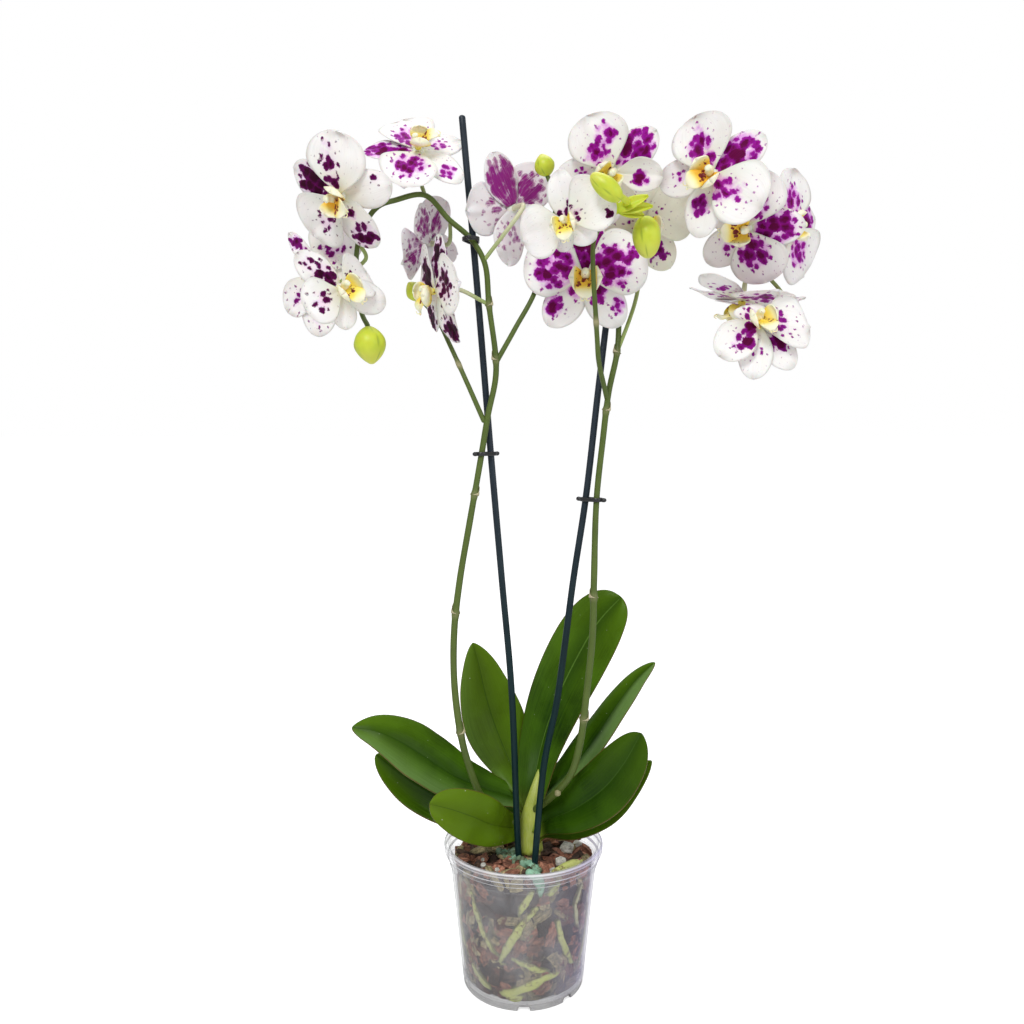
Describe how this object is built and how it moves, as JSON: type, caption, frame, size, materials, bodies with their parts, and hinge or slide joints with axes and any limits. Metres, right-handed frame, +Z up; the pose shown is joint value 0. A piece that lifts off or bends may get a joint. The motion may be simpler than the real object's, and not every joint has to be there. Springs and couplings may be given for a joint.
{
  "type": "potted orchid",
  "caption": "Moth orchid in bloom in a clear nursery pot: arching staked flower spikes, white and magenta blooms, green buds, strap leaves.",
  "frame": {"origin": "on the floor, under the middle of the whole plant's outline", "axes": "+Z up along the stakes, -Y towards the viewer, +X towards the viewer's right"},
  "size_m": [0.4066, 0.1554, 0.6392],
  "materials": {
    "pot": "translucent, slightly milky",
    "bark": "rough",
    "root": "satin",
    "crown": "satin",
    "stake": "satin",
    "spike": "satin",
    "clip": "gloss",
    "leaf": "waxy",
    "tepal": "soft",
    "lip": "waxy",
    "bud": "waxy"
  },
  "bodies": {
    "root": {"pot": "pot", "bark_mix": "bark", "root_front_left": "root", "root_front": "root", "root_front_low": "root", "root_right": "root", "crown": "crown", "stake_left": "stake", "spike_left": "spike", "stake_right": "stake", "spike_right": "spike", "clip_left_lower": "clip", "clip_left_upper": "clip", "clip_right": "clip", "leaf_left_long": "leaf", "leaf_left_under": "leaf", "leaf_front_short": "leaf", "leaf_upright_left": "leaf", "leaf_upright_tall": "leaf", "leaf_right_narrow": "leaf", "leaf_right_front": "leaf", "leaf_right_under": "leaf", "bloom_l1_tepals": "tepal", "bloom_l1_lip": "lip", "bloom_l2_tepals": "tepal", "bloom_l2_lip": "lip", "bloom_l3_tepals": "tepal", "bloom_l3_lip": "lip", "bloom_l4_tepals": "tepal", "bloom_l4_lip": "lip", "bloom_l5_tepals": "tepal", "bloom_l5_lip": "lip", "bloom_l6_tepals": "tepal", "bloom_l6_lip": "lip", "bloom_c0_tepals": "tepal", "bloom_c0_lip": "lip", "bloom_c1_tepals": "tepal", "bloom_c1_lip": "lip", "bloom_c2_tepals": "tepal", "bloom_c2_lip": "lip", "bloom_c3_tepals": "tepal", "bloom_c3_lip": "lip", "bloom_c4_tepals": "tepal", "bloom_c4_lip": "lip", "bloom_r1_tepals": "tepal", "bloom_r1_lip": "lip", "bloom_r2_tepals": "tepal", "bloom_r2_lip": "lip", "bloom_r3_tepals": "tepal", "bloom_r3_lip": "lip", "bloom_r5_tepals": "tepal", "bloom_r5_lip": "lip", "bloom_r6_tepals": "tepal", "bloom_r6_lip": "lip", "bud_left_tip": "bud", "bud_left_branch": "bud", "bud_centre_branch": "bud", "bud_spray": "bud"}
  },
  "joints": []
}
